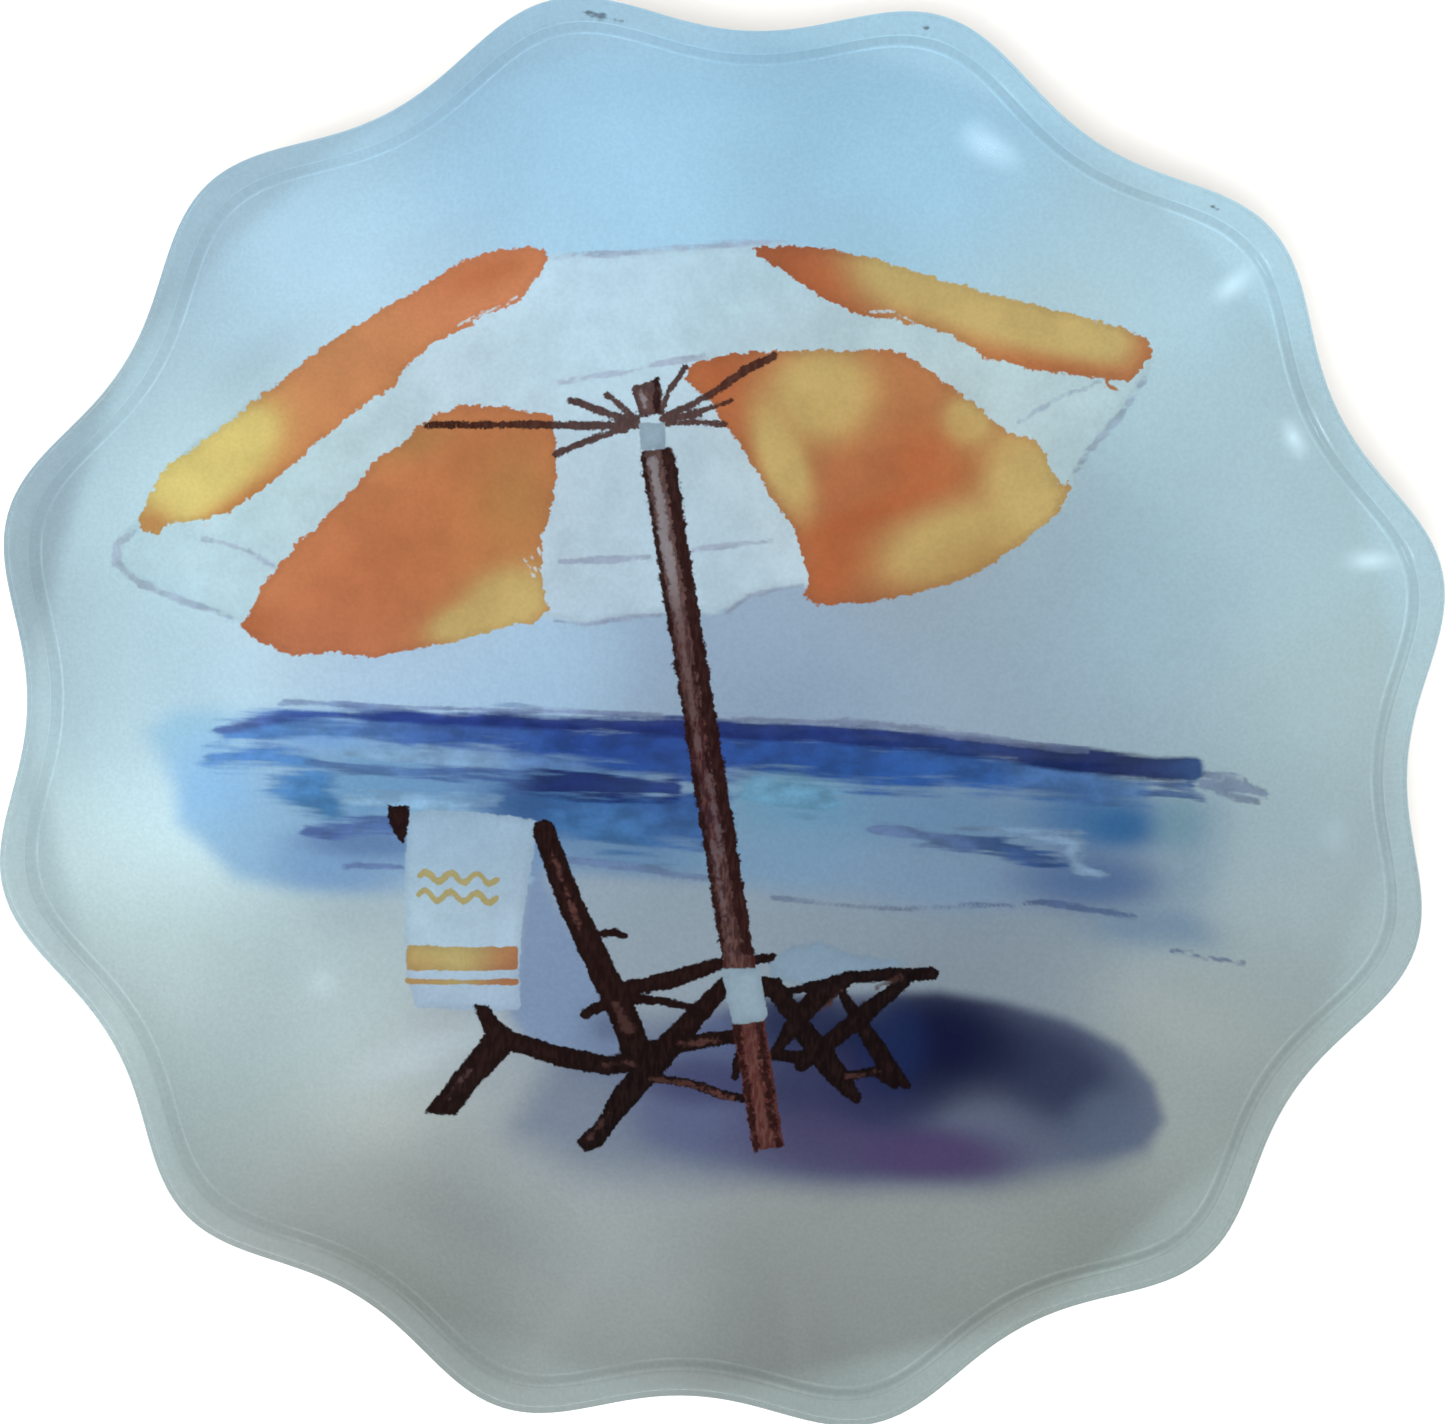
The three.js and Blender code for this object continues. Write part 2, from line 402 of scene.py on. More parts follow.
def shadow_on_sand(paper, colour):
    """The umbrella's shadow: one wet ellipse with a dark heart, opening out to the left."""
    shape = paper.area(
        (6, -40), (24, -38.6), (33, -37.9), (42, -39.0), (51.5, -41.2), (60, -44.8), (64.6, -49.4),
        (66.4, -54.6), (64, -59.4), (57, -62.6), (42, -66), (22, -67.6), (2, -67), (-16, -64.6), (-25, -60),
        (-20, -50),
    )
    blur = 2.4 + 8.0 * smoothstep((12.0 - paper.x) / 24.0) + 4.0 * smoothstep((-56.0 - paper.y) / 8.0)
    body = soft(shape, blur)
    colour = soak(colour, (98, 108, 132), body * 0.92)
    pools = (
        (-20, -58, 13, 9, 0, (128, 140, 156), 0.85), (-14, -46, 10, 7, 0, (108, 122, 150), 0.8),
        (0, -57, 11, 7, 0, (92, 100, 136), 0.85), (4, -47, 9, 6, 0, (86, 98, 136), 0.8),
        (0, -52.5, 9, 3.6, 0, (66, 70, 108), 0.8), (14, -43.5, 9, 6, 0, (34, 42, 76), 0.95),
        (21, -46.5, 5, 5, 0, (28, 38, 72), 0.95), (17, -53, 12, 7, 0, (48, 50, 88), 0.9),
        (20, -61, 16, 5.5, 0, (72, 66, 104), 0.85), (34, -62, 12, 4.4, 0, (78, 66, 106), 0.95),
        (27, -53, 9, 6, 0, (42, 46, 84), 0.85), (50, -49, 13, 8, -26, (46, 54, 82), 0.95),
        (34, -45, 12.5, 9.6, -6, (13, 19, 54), 1.0), (27, -46, 5, 7, 0, (22, 38, 82), 0.8),
        (46, -58.4, 9, 3.0, -8, (86, 90, 118), 0.35), (58, -56, 6, 5, 30, (90, 104, 126), 0.7),
    )
    return painted_pools(paper, colour, pools, 2.0, body)


def painted_pools(paper, colour, pools, firmness, within=1.0):
    """Soaks (x, y, half width, half height, tilt, shade, amount) pools into a colour, inside `within`."""
    for x, y, half_width, half_height, tilt, shade, amount in pools:
        cover = paper.pool(x, y, half_width, half_height, tilt, firmness)
        colour = soak(colour, shade, cover * amount * within)
    return colour


def same_pools(paper, colour, pools, shade, amount):
    """Soaks one shade into a colour at each of several pools."""
    for x, y, half_width, half_height, tilt in pools:
        colour = soak(colour, shade, paper.pool(x, y, half_width, half_height, tilt) * amount)
    return colour


def damp_patches_and_painted_highlights(paper, colour):
    """Faint pale and dull patches where the wash dried unevenly, two thin pale streaks at the bottom, and
    painted highlights: the pale spot and streak at the lower left.
    """
    pools = (
        # The first two pools are painted highlights: the pale spot and the streak at the lower left.
        (-55, -40.5, 2.2, 2.2, 0, (198, 216, 222), 0.5), (-40, -50, 12, 3, 24, (190, 204, 212), 0.6),
        (-50, -30, 8, 4, 0, (160, 176, 182), 0.5), (-33, -74, 14, 5, -20, (142, 150, 150), 0.5),
        (-46, -60, 7, 4, 0, (186, 194, 190), 0.4), (68, -40, 14, 5, -15, (172, 178, 178), 0.5),
        (72, -56, 7, 9, 20, (160, 170, 168), 0.4), (-66, 62, 12, 10, 20, (190, 218, 234), 0.5),
        (-68, 46, 9, 4, 40, (164, 192, 206), 0.4), (0, 88, 20, 4, 0, (156, 194, 218), 0.5),
        (12, 2, 12, 8, 0, (140, 160, 184), 0.4), (-48, 4, 12, 4, 0, (178, 206, 228), 0.5),
        (-20, -90, 2.0, 12, -32, (170, 176, 176), 0.35), (15, -88, 1.6, 10, 12, (160, 166, 166), 0.3),
    )
    return painted_pools(paper, colour, pools, 1.0)


# Where the painted light and shade on the lip begins, and how far it blends in (mm).
LIP_SHADING_START = 92.5
LIP_SHADING_BLEND = 4.0


def lip_light_and_shade(paper, colour):
    """The lip of the sheet with painted light and shade: painted shade to the upper left, painted light to
    the lower right and the upper right.
    """
    outside = smoothstep((np.hypot(paper.x, paper.y) - LIP_SHADING_START) / LIP_SHADING_BLEND)
    around = np.arctan2(paper.y, paper.x)
    # Bearing, shade and amount of each painted shade or painted light on the lip.
    lip_lighting = ((158, (130, 148, 160), 0.5), (300, (182, 202, 200), 0.5), (48, (192, 226, 242), 0.45))
    for bearing, shade, amount in lip_lighting:
        facing = np.clip(np.cos(around - math.radians(bearing)), 0.0, 1.0) ** 2
        colour = soak(colour, shade, outside * facing * amount)
    return colour


def wash(paper):
    """All the wet colour that lies under the drawn layers, with painted light and shade on the sheet and
    its lip.
    """
    colour = sky_and_sand_with_painted_light(paper)
    colour = lip_light_and_shade(paper, colour)
    colour = damp_patches_and_painted_highlights(paper, colour)
    colour = sea(paper, colour)
    colour = shadow_on_sand(paper, colour)
    shade_by_towel = paper.area((-26, -20), (-16, -37), (-10, -49), (-24, -49), (-28, -44))
    colour = soak(colour, (124, 146, 178), soft(shade_by_towel, 3.0) * 0.9)
    colour = soak(colour, (92, 104, 134), paper.pool(-13.5, -45, 3.4, 3.0) * 0.8)
    return colour


def canopy(paper):
    """The umbrella's white cloth, whole; the coloured panels lie over it."""
    shape = paper.area(
        (-85.5, 20.5), (-84.5, 23), (-82, 25.5), (-76, 35), (-57, 50), (-38, 62), (-27, 64), (-15, 64.8),
        (-5, 66), (6, 67), (24, 64), (43, 59), (57, 56), (58.5, 53), (57, 50), (53, 43.5), (49, 38),
        (47, 32), (36, 23), (22, 18), (13, 18), (11, 19.5), (7, 19), (3, 17.3), (-1, 15), (-9, 14.6),
        (-15, 13.6), (-19, 12.5), (-25, 13.5), (-45, 9), (-60, 8), (-68, 11), (-72, 12.4), (-79, 14.4),
        (-84, 17.2),
    )
    tint = paper.blend(
        12.0, (-78, 20, (187, 215, 226)), (-55, 32, (180, 208, 218)), (-30, 52, (190, 214, 227)),
        (-12, 60, (190, 213, 224)), (-18, 30, (187, 207, 219)), (0, 28, (190, 212, 222)),
        (-15, 17, (177, 197, 212)), (45, 46, (182, 205, 212)), (10, 58, (180, 204, 214)),
    )
    return shape, tint


def horizon(paper):
    """The strong line of the sea's far edge, broader towards the right."""
    line = paper.stroke(
        (-70.5, -4.5, 0.6), (-66, -3.4, 1.2), (-61, -2.2, 1.4), (-56, -1.7, 1.3), (-42, -1.5, 1.4),
        (-30, -1.4, 1.8), (-5, -1.3, 2.6), (15, -1.4, 2.6), (30, -2.0, 2.8), (45, -3.2, 3.0),
        (55, -4.0, 3.3), (62, -4.4, 3.5), (67.2, -4.5, 3.6),
    )
    tint = paper.blend(
        6.0, (-70, -4, (96, 116, 168)), (-58, -2, (54, 84, 158)), (-45, -2, (42, 62, 136)),
        (-20, -2, (34, 50, 114)), (20, -2, (34, 52, 114)), (35, -3, (36, 56, 112)), (50, -4, (18, 32, 86)),
        (63, -6, (16, 20, 78)), (73, -2, (56, 98, 150)),
    )
    return line, tint


def thin_lines(paper):
    """Drawn lines in the sea and round the white cloth."""
    strokes = (
        ((-62, -0.7, 0.6), (-61, -0.1, 0.9), (-50, -0.1, 0.8), (-30, 0.0, 0.5), (-19, 0.2, 0.6),
         (-8, 0.3, 0.7)),
        ((2, 0.2, 0.7), (20, 0.3, 0.8), (30, -0.3, 1.3), (42, -1.5, 1.2), (52, -2.4, 0.6)),
        ((69, -4.7, 0.9), (74.6, -4.9, 0.8), (75, -5.8, 0.8), (78, -7.2, 0.6)),
        ((69, -6.2, 1.7), (73, -6.3, 1.7), (77.5, -6.9, 1.0)),
        ((71, -7.5, 0.5), (74, -7.9, 0.8), (76.8, -8.1, 0.6)),
        ((-52, -23.5, 0.6), (-50.6, -23.1, 0.8), (-43.8, -23.1, 0.8)),
        ((-21, -21.0, 1.0), (-12, -21.8, 1.2), (0, -22.8, 0.8)),
        ((9, -25.2, 0.5), (17, -25.9, 0.6), (27, -26.0, 0.7), (36, -25.3, 0.5), (43, -25.0, 0.4)),
        ((44.6, -24.7, 0.4), (47, -24.3, 0.8), (53, -25.0, 0.9), (60.4, -25.7, 0.6)),
        ((66, -30.6, 0.5), (76, -31.6, 0.5)),
        ((-26, 63.9, 0.5), (-18, 64.4, 0.6), (-10, 65.5, 0.7), (-2, 66.3, 0.8), (6.5, 67.2, 0.7)),
        ((-24, 46.6, 0.5), (-12, 48.9, 0.7), (-4, 51.2, 0.5)),
        ((-23, 21.4, 0.5), (-16, 21.9, 0.9), (-10.5, 22.6, 0.5)),
        ((-5.5, 23.5, 0.5), (0, 24.7, 0.9), (6.5, 25.6, 0.4)),
        ((-23.5, 13.1, 0.4), (-19, 12.6, 0.5), (-15.5, 13.6, 0.7), (-7.5, 14.7, 0.5)),
        ((0.5, 15.2, 0.4), (3.5, 17.6, 0.6), (8, 18.9, 0.5), (11, 19.5, 0.4)),
        ((-82, 24.0, 0.7), (-85, 21.5, 0.9), (-85.2, 19, 1.0), (-82, 16, 1.1), (-76, 13.7, 1.0),
         (-69, 11.6, 0.5)),
        ((-73, 22.6, 0.5), (-67, 21.3, 0.7), (-63, 19, 0.5)),
        ((57.5, 50.5, 0.5), (54, 45, 0.8), (50, 40, 0.8), (48, 36.5, 0.5)),
        ((40, 43.5, 0.4), (45, 47, 0.6), (51, 49.6, 0.5)),
    )
    shape = paper.strokes(strokes)
    tint = paper.blend(
        12.0, (-80, 18, (168, 180, 200)), (-58, 0, (112, 136, 178)), (-35, 0, (122, 136, 178)),
        (-47, -23, (90, 110, 162)), (-10, -22, (104, 124, 162)), (53, -25, (58, 80, 126)),
        (20, -26, (104, 116, 138)), (75, -7, (104, 118, 144)), (-10, 65, (160, 168, 190)),
        (-5, 22, (150, 158, 180)), (52, 45, (150, 166, 188)), (30, 0, (112, 122, 150)),
    )
    return shape, tint


def towel(paper):
    """The towel over the chair's back."""
    shape = paper.area(
        (-43.3, -15.4), (-41, -14.7), (-35, -14.6), (-28, -15.1), (-24.8, -15.7), (-25.4, -21),
        (-26.6, -30), (-26.8, -38), (-26.4, -43), (-30, -43.6), (-41.5, -43.3), (-43.2, -37), (-43.6, -25),
    )
    tint = paper.blend(
        6.0, (-35, -18, (156, 182, 202)), (-35, -31, (178, 202, 216)), (-28, -25, (170, 192, 210)),
        (-35, -42, (164, 184, 208)),
    )
    return shape, tint


def pale_cloth(paper):
    """The pale seat cloth behind the pole."""
    shape = paper.area(
        (8.5, -34.5), (12, -32.2), (16, -31.4), (20, -32.6), (29, -34), (24, -35.6), (15, -38), (9, -37),
    )
    return shape, paper.plain((132, 157, 179))


YELLOW_SPREAD = 1.25
YELLOW_STRENGTH = 1.3


def warm_panels(paper):
    """The four orange and yellow panels of the umbrella."""
    shape = together(
        paper.area(
            (-82, 25.5), (-80.3, 29.5), (-78, 33.3), (-74, 36), (-70, 39.3), (-57, 50), (-43, 59.5),
            (-38, 62.8), (-33, 64.7), (-28, 65), (-26.3, 64), (-27, 61.5), (-31, 56.5), (-35, 55.2),
            (-38, 53), (-42, 51), (-45, 48), (-47, 45), (-52, 41.5), (-62, 32.5), (-67, 28.5), (-70, 26.3),
            (-74, 25.2), (-78, 24.8), (-79.5, 23), (-81.8, 23.5),
        ),
        paper.area(
            (-68, 10.5), (-66, 12.5), (-65, 16), (-62.5, 19), (-60, 22.5), (-56, 26.3), (-51, 32),
            (-48.5, 35.5), (-46, 36.5), (-44, 39), (-41, 41.5), (-37, 42.6), (-32, 42.7), (-24.8, 41.7),
            (-24, 35), (-24, 32), (-25.6, 25), (-25.7, 20), (-24.5, 14.5), (-26.5, 12.5), (-30, 12.2),
            (-38, 9.3), (-45, 8), (-49, 6.7), (-55, 7.3), (-60, 6.6), (-64, 7.8),
        ),
        paper.area(
            (1.5, 66.3), (8, 66.7), (16, 66), (33, 61.8), (52, 58), (57, 56.3), (58.3, 54.3), (55.5, 50),
            (50, 50.2), (42, 51), (35, 52.3), (32, 54.3), (28, 56), (22, 57.5), (17.5, 57.2), (12, 59.7),
            (7.5, 62.3), (4.5, 64),
        ),
        paper.area(
            (-6.7, 47.5), (-6, 49.7), (0, 51.5), (6, 52.2), (23, 52.7), (27, 50.3), (35, 45), (38, 42.3),
            (43, 41), (44.5, 38), (46, 35.2), (48, 36), (47.5, 34), (46, 31), (43, 28), (35, 22),
            (28, 19.3), (20, 17.5), (13, 16.7), (11.3, 18.5), (12, 20), (9.7, 27), (6, 32), (2, 38),
            (-1.5, 42), (-3, 45),
        ),
        paper.stroke((52.2, 48.9, 0.4), (53.8, 48.8, 0.5)),
        paper.stroke((20.4, 57.6, 0.3), (22.4, 57.2, 0.4), (24.4, 56.5, 0.4)),
    )
    tint = paper.blend(
        9.0, (-35, 60, (200, 128, 88)), (-55, 44, (198, 136, 90)), (-75, 26, (206, 146, 88)),
        (-60, 12, (192, 118, 82)), (-50, 20, (184, 116, 78)), (-40, 28, (186, 120, 78)),
        (-28, 35, (182, 112, 72)), (-28, 24, (182, 124, 76)), (12, 61, (164, 90, 58)),
        (33, 53, (186, 132, 84)), (57, 53, (180, 122, 82)), (-4, 47, (174, 104, 66)),
        (22, 46, (176, 114, 76)), (20, 34, (174, 110, 72)), (15, 22, (162, 102, 66)),
        (36, 38, (176, 120, 78)),
    )
    yellow_pools = (
        (-73.5, 32, 9, 5.2, 40), (-67.5, 37.5, 4, 2.8, 40), (-30, 15.5, 5.6, 3.8, 25),
        (-36, 12.2, 4.6, 2.2, 20), (25, 62.8, 8, 3.8, -10), (37, 58.6, 12, 3.4, -14), (49, 56, 6, 2.8, -10),
        (12.5, 46.4, 6, 5.4, 10), (7.4, 37, 2.6, 6.6, 24), (33, 43.5, 2.8, 2.8, 0), (41, 36.5, 4.6, 5, 30),
        (32, 26.4, 9, 4.2, 20), (41.5, 31.5, 5, 3.4, 40),
    )
    for x, y, half_width, half_height, tilt in yellow_pools:
        shade = (218, 198, 122) if x < -50 else (194, 168, 108)
        cover = paper.pool(x, y, half_width * YELLOW_SPREAD, half_height * YELLOW_SPREAD, tilt)
        tint = soak(tint, shade, smoothstep(cover * YELLOW_STRENGTH))
    ochre_pools = ((-44, 37, 6, 2.4, 25), (35, 23.6, 8, 3.4, 24), (-30, 30, 6, 8, 0))
    tint = same_pools(paper, tint, ochre_pools, (168, 128, 76), 0.6)
    orange_pools = (
        (21, 30.5, 15, 1.8, 26), (16, 24, 5, 6, 0), (57.5, 54, 2.6, 4, 0), (45, 51.4, 13, 1.6, -6),
        (-68, 28, 9, 1.8, 36), (-80, 25, 3, 2.5, 0), (-34, 61.5, 8, 2.5, 20), (-66, 10.5, 4, 3, 0),
        (34, 47.5, 8, 1.2, -38), (27, 38, 6, 4, 30), (14, 20, 3, 4, 0), (-2, 48, 3, 4, 0),
        (11, 62.4, 5, 3, -20),
    )
    return shape, same_pools(paper, tint, orange_pools, (178, 98, 58), 0.6)


def bare_flecks(paper):
    """Flecks of bare paper where a dry brush skipped beside the panels."""
    strokes = (
        ((-38.5, 53.6, 0.3), (-35, 55.6, 0.6), (-31.5, 56.9, 0.3)), ((-33, 56.2, 0.3), (-30.4, 57.9, 0.4)),
        ((-77, 24.9, 0.4), (-74.5, 24.1, 0.5), (-71.6, 25.2, 0.4)),
        ((-72.6, 24.4, 0.4), (-70.2, 25.6, 0.5)), ((-27.0, 21.9, 0.5), (-26.8, 21.5, 0.3)),
        ((-26.1, 23.0, 0.5), (-25.9, 22.3, 0.4)), ((-27.7, 20.8, 0.3), (-27.3, 20.4, 0.4)),
        ((-26.5, 20.4, 0.4), (-26.2, 19.9, 0.3)), ((-28.1, 21.7, 0.3), (-27.9, 21.3, 0.3)),
        ((-26.9, 19.5, 0.4), (-26.5, 19.1, 0.3)), ((-45.6, 44.8, 0.3), (-47.2, 43.6, 0.4)),
        ((-56.8, 26.2, 0.4), (-57.8, 25.2, 0.3)), ((17.8, 58.0, 0.3), (22.0, 58.2, 0.4), (24.6, 57.0, 0.3)),
    )
    return paper.strokes(strokes), paper.plain((200, 220, 230))


def air_gap_shade(paper):
    """Painted shade: dark specks under the lip where the sheet doesn't quite touch the glass."""
    strokes = (
        ((-22.0, 96.9, 0.7), (-19.2, 96.5, 0.6)), ((-18.4, 96.3, 0.3), (-16.2, 96.0, 0.4)),
        ((23.6, 97.0, 0.5), (24.2, 96.8, 0.5)), ((63.6, 74.9, 0.3), (64.6, 74.3, 0.3)),
    )
    return paper.strokes(strokes), paper.plain((66, 66, 78))


def gold_bands(paper):
    """Woven bands across the towel, and a plain wave motif above them."""
    wave = tuple((-41.5 + step * 0.46, 0.75 * math.sin(step * 0.79), 0.85) for step in range(25))
    shape = together(
        paper.area(
            (-43, -34.4), (-35, -34.3), (-29, -34), (-27.1, -33.9), (-27, -37.4), (-33, -37.7), (-43, -38),
        ),
        paper.stroke((-42.6, -39.6, 0.9), (-35, -39.4, 0.7), (-30, -39.2, 0.9), (-27.4, -39.0, 1.1)),
        paper.stroke(*((x, y - 24.3, width) for x, y, width in wave)),
        paper.stroke(*((x, y - 27.0, width) for x, y, width in wave)),
    )
    tint = paper.blend(
        3.0, (-41, -36, (178, 158, 92)), (-34, -36, (182, 164, 100)), (-28, -36.5, (172, 110, 62)),
        (-36, -26, (180, 164, 104)), (-42, -39.5, (178, 130, 76)), (-28, -39, (172, 104, 60)),
    )
    return shape, tint


def chair_frame(paper):
    """The deck chair's dark wooden bars; three of them end in a square cut."""
    strokes = (
        ((-24, -17, 3.3), (-20, -27, 3.6), (-15, -37, 3.9), (-12, -42.5, 4.2), (-9.6, -48.4, 4.2)),
        ((-27.5, -47.8, 2.8), (-20, -49.8, 3.0), (-14, -50.7, 2.8), (-8, -50, 2.8)),
        ((-13.4, -59.0, 2.8), (-11.4, -55.6, 3.6), (-7, -49.8, 4.2), (-3, -45, 3.4), (1.6, -39.4, 2.6),
         (3.6, -37.4, 2.6)),
        ((-12.5, -39.6, 2.2), (-6, -38.1, 2.5), (-1, -36.2, 2.4), (1.8, -35.1, 1.8)),
        ((6.5, -34.5, 1.5), (9.1, -33.9, 1.3)),
        ((-15.3, -31.5, 1.0), (-13.4, -31.2, 1.3), (-12, -31.7, 1.0)),
        ((-17.2, -43.2, 1.5), (-14, -41.6, 1.8)), ((-12, -40.6, 1.8), (-6, -41.0, 1.2), (-1.8, -41.7, 1.1)),
        ((-9, -48.6, 3.2), (-3, -47.0, 2.4), (4.8, -45.6, 1.9)),
        ((-10, -52, 1.3), (-2, -52.8, 1.3), (2.5, -54.2, 1.4), (6, -54.8, 1.2)),
        ((5.0, -48.6, 1.6), (4.6, -51.6, 1.2)),
        ((9.6, -38.4, 2.8), (12.4, -42, 2.8), (16.6, -47.8, 3.6), (19.6, -51.2, 3.2), (22, -54, 1.6)),
        ((10.4, -47.4, 1.6), (12.6, -43.6, 2.6), (15.4, -39.9, 3.2), (19.4, -37.0, 2.4)),
        ((11, -38.9, 1.0), (13, -38.4, 1.3), (16, -37.5, 1.2), (20, -36.4, 1.8), (27, -35.6, 1.9),
         (32, -35.3, 2.0)),
        ((14, -49.4, 2.2), (18, -45.8, 2.6), (23, -41.2, 2.8), (28.5, -36.4, 1.6)),
        ((19, -38.2, 1.3), (21.5, -42, 2.2), (24.5, -46.4, 2.6), (27, -50.0, 2.8), (29.3, -52.0, 1.2)),
        ((10, -48.2, 1.7), (15, -48.3, 2.0), (18, -48.8, 1.8)),
        ((20.4, -50.7, 1.2), (24.6, -50.0, 1.5), (27.5, -51.4, 2.0)),
    )
    square_ends = (
        paper.area(
            (-46.3, -14.2), (-43.0, -14.2), (-43.3, -17.4), (-43.8, -19.9), (-45.2, -18.2), (-46.1, -16.0),
        ),
        paper.area(
            (-33.4, -42.6), (-31.0, -42.6), (-29.6, -44.6), (-27.2, -46.6), (-27.6, -49.4), (-32.4, -54.8),
            (-35.2, -59.1), (-40.0, -58.8), (-36.4, -54.0), (-31.4, -46.8),
        ),
        paper.area(
            (-15.2, -59.2), (-17.9, -62.2), (-16.4, -63.5), (-14.2, -62.8), (-12.0, -59.4), (-12.4, -57.4),
        ),
        paper.area((7.4, -36.6), (10.4, -36.9), (11.0, -39.2), (8.2, -39.8)),
    )
    shape = together(*square_ends, paper.strokes(strokes))
    tint = paper.blend(
        8.0, (-16, -36, (28, 6, 4)), (-36, -56, (24, 6, 5)), (-6, -50, (12, 1, 1)), (15, -44, (16, 3, 3)),
        (24, -48, (13, 1, 3)), (-4, -37, (28, 8, 6)),
    )
    return shape, tint


POLE_TOP = (-10.2, 37.7)
POLE_FOOT = (9.9, -62.0)
POLE_WIDTH = 4.6


def beside_pole(start, end, offset, width):
    """Stops of a stroke along the pole between two shares of its length, `offset` right of its middle."""
    run = (POLE_FOOT[0] - POLE_TOP[0], POLE_FOOT[1] - POLE_TOP[1])
    length = math.hypot(*run)
    across = (-run[1] / length, run[0] / length)
    stops = []
    for share in (start, end):
        x = POLE_TOP[0] + run[0] * share + across[0] * offset
        y = POLE_TOP[1] + run[1] * share + across[1] * offset
        stops.append((x, y, width))
    return stops


def flat_stroke(paper, start, end, offset, width):
    """A stroke along the pole with square ends."""
    (ax, ay, _), (bx, by, _) = beside_pole(start, end, offset - width / 2, 0)
    (cx, cy, _), (dx, dy, _) = beside_pole(start, end, offset + width / 2, 0)
    return paper.area((ax, ay), (cx, cy), (dx, dy), (bx, by))


def pole_and_ribs(paper):
    """The umbrella's pole, the finial on it and the ribs that spread from its top."""
    ribs = (
        ((-13, 40.9, 1.0), (-20, 40.6, 1.2), (-30, 40.3, 1.1), (-42.3, 39.7, 1.0)),
        ((-13.4, 41.2, 0.8), (-18, 42.7, 1.1), (-22.4, 44, 1.0)),
        ((-13, 41.8, 0.8), (-15, 43.2, 1.0), (-17.4, 45, 0.8)),
        ((-14.4, 40.3, 0.7), (-19, 38.9, 1.0), (-24.3, 36.4, 1.1)),
        ((-9.8, 42.8, 0.8), (-8.6, 46.3, 0.8), (-6.6, 49.3, 0.8)),
        ((-9.6, 42, 0.9), (-3, 45.6, 1.0), (2, 49.4, 1.2), (5.6, 51.4, 1.1)),
        ((-9.2, 41.8, 0.8), (-5, 43, 0.9), (0.2, 45, 0.5)),
        ((-9, 41.4, 0.9), (-5, 41.7, 0.9), (-0.6, 41.6, 0.8)),
    )
    finial = paper.area(
        (-14.1, 46.2), (-12.2, 46.9), (-10.3, 47.6), (-9.7, 45.8), (-9.9, 42.6), (-12.8, 42.0),
    )
    shape = together(flat_stroke(paper, 0.0, 1.0, 0.0, POLE_WIDTH), finial, paper.strokes(ribs))
    tint = paper.blend(
        9.0, (-11, 34, (88, 60, 56)), (-4, 5, (62, 29, 23)), (2, -20, (58, 26, 21)), (9, -55, (84, 42, 36)),
        (-35, 40, (48, 18, 12)), (-17, 43, (64, 36, 30)), (2, 48, (62, 30, 22)),
    )
    return shape, tint


def pole_dark_sides(paper):
    """Dark lines down both sides of the pole."""
    shape = together(
        flat_stroke(paper, 0.0, 0.72, 1.45, 1.7), flat_stroke(paper, 0.0, 0.72, -2.0, 0.7),
        flat_stroke(paper, 0.81, 1.0, 1.4, 0.9), flat_stroke(paper, 0.81, 1.0, -1.7, 0.9),
        flat_stroke(paper, 0.86, 0.97, 0.5, 0.4), flat_stroke(paper, 0.3, 0.55, 0.2, 0.3),
        paper.stroke((-10.6, 47.2, 0.8), (-10.3, 43, 0.8)),
        paper.stroke((-12.9, 43.4, 0.6), (-11.6, 42.4, 0.6)),
    )
    return shape, paper.plain((36, 8, 6))


def wood_lights(paper):
    """Dry-brush streaks of paper showing along the wood."""
    strokes = (
        beside_pole(0.015, 0.22, -0.75, 1.3), beside_pole(0.2, 0.42, -0.7, 0.7),
        beside_pole(0.46, 0.58, 0.0, 0.5), beside_pole(0.55, 0.72, -0.9, 0.4),
        beside_pole(0.82, 0.97, 0.1, 0.4), ((-22.8, -20, 0.3), (-18.5, -30.5, 0.5)),
        ((-12.8, -41.6, 1.0), (-10.9, -45.4, 1.8)), ((-4, -47.2, 0.4), (2.2, -46.3, 0.7)),
        ((-7.4, -52.6, 0.6), (-2, -53.0, 0.9), (4.4, -54.9, 0.6)), ((20.6, -50.9, 0.5), (25, -50.0, 0.6)),
        ((24.2, -37.8, 0.4), (27.4, -35.9, 0.8)), ((16.6, -41.2, 0.4), (19.2, -38.4, 0.6)),
        ((-36.6, -56.8, 0.5), (-33.4, -52, 0.4)), ((-14.5, -50.6, 0.5), (-10, -50.2, 0.6)),
        ((-16, -61.6, 0.4), (-13, -57.4, 0.3)), ((-12.6, 45.6, 0.8), (-12.0, 43.4, 0.7)),
    )
    shape = paper.strokes(strokes)
    tint = paper.blend(
        7.0, (-9, 30, (152, 146, 150)), (-5, 5, (112, 88, 86)), (3, -20, (110, 92, 96)),
        (8, -52, (112, 70, 62)), (-20, -26, (104, 66, 60)), (-35, -55, (92, 66, 66)),
        (22, -44, (72, 48, 44)), (-8, -49, (78, 52, 48)),
    )
    return shape, tint


def collars(paper):
    """The pale collar under the ribs and the pale sleeve where the pole stands behind the chair."""
    shape = together(
        paper.area((-12.7, 41.3), (-9.2, 41.4), (-8.9, 37.9), (-12.4, 37.5)),
        paper.area(
            (2.0, -35.9), (7.4, -35.6), (8.1, -39), (8.8, -42.4), (8.2, -43.3), (4.0, -43.9), (2.8, -40),
        ),
    )
    return shape, paper.plain((146, 167, 182))


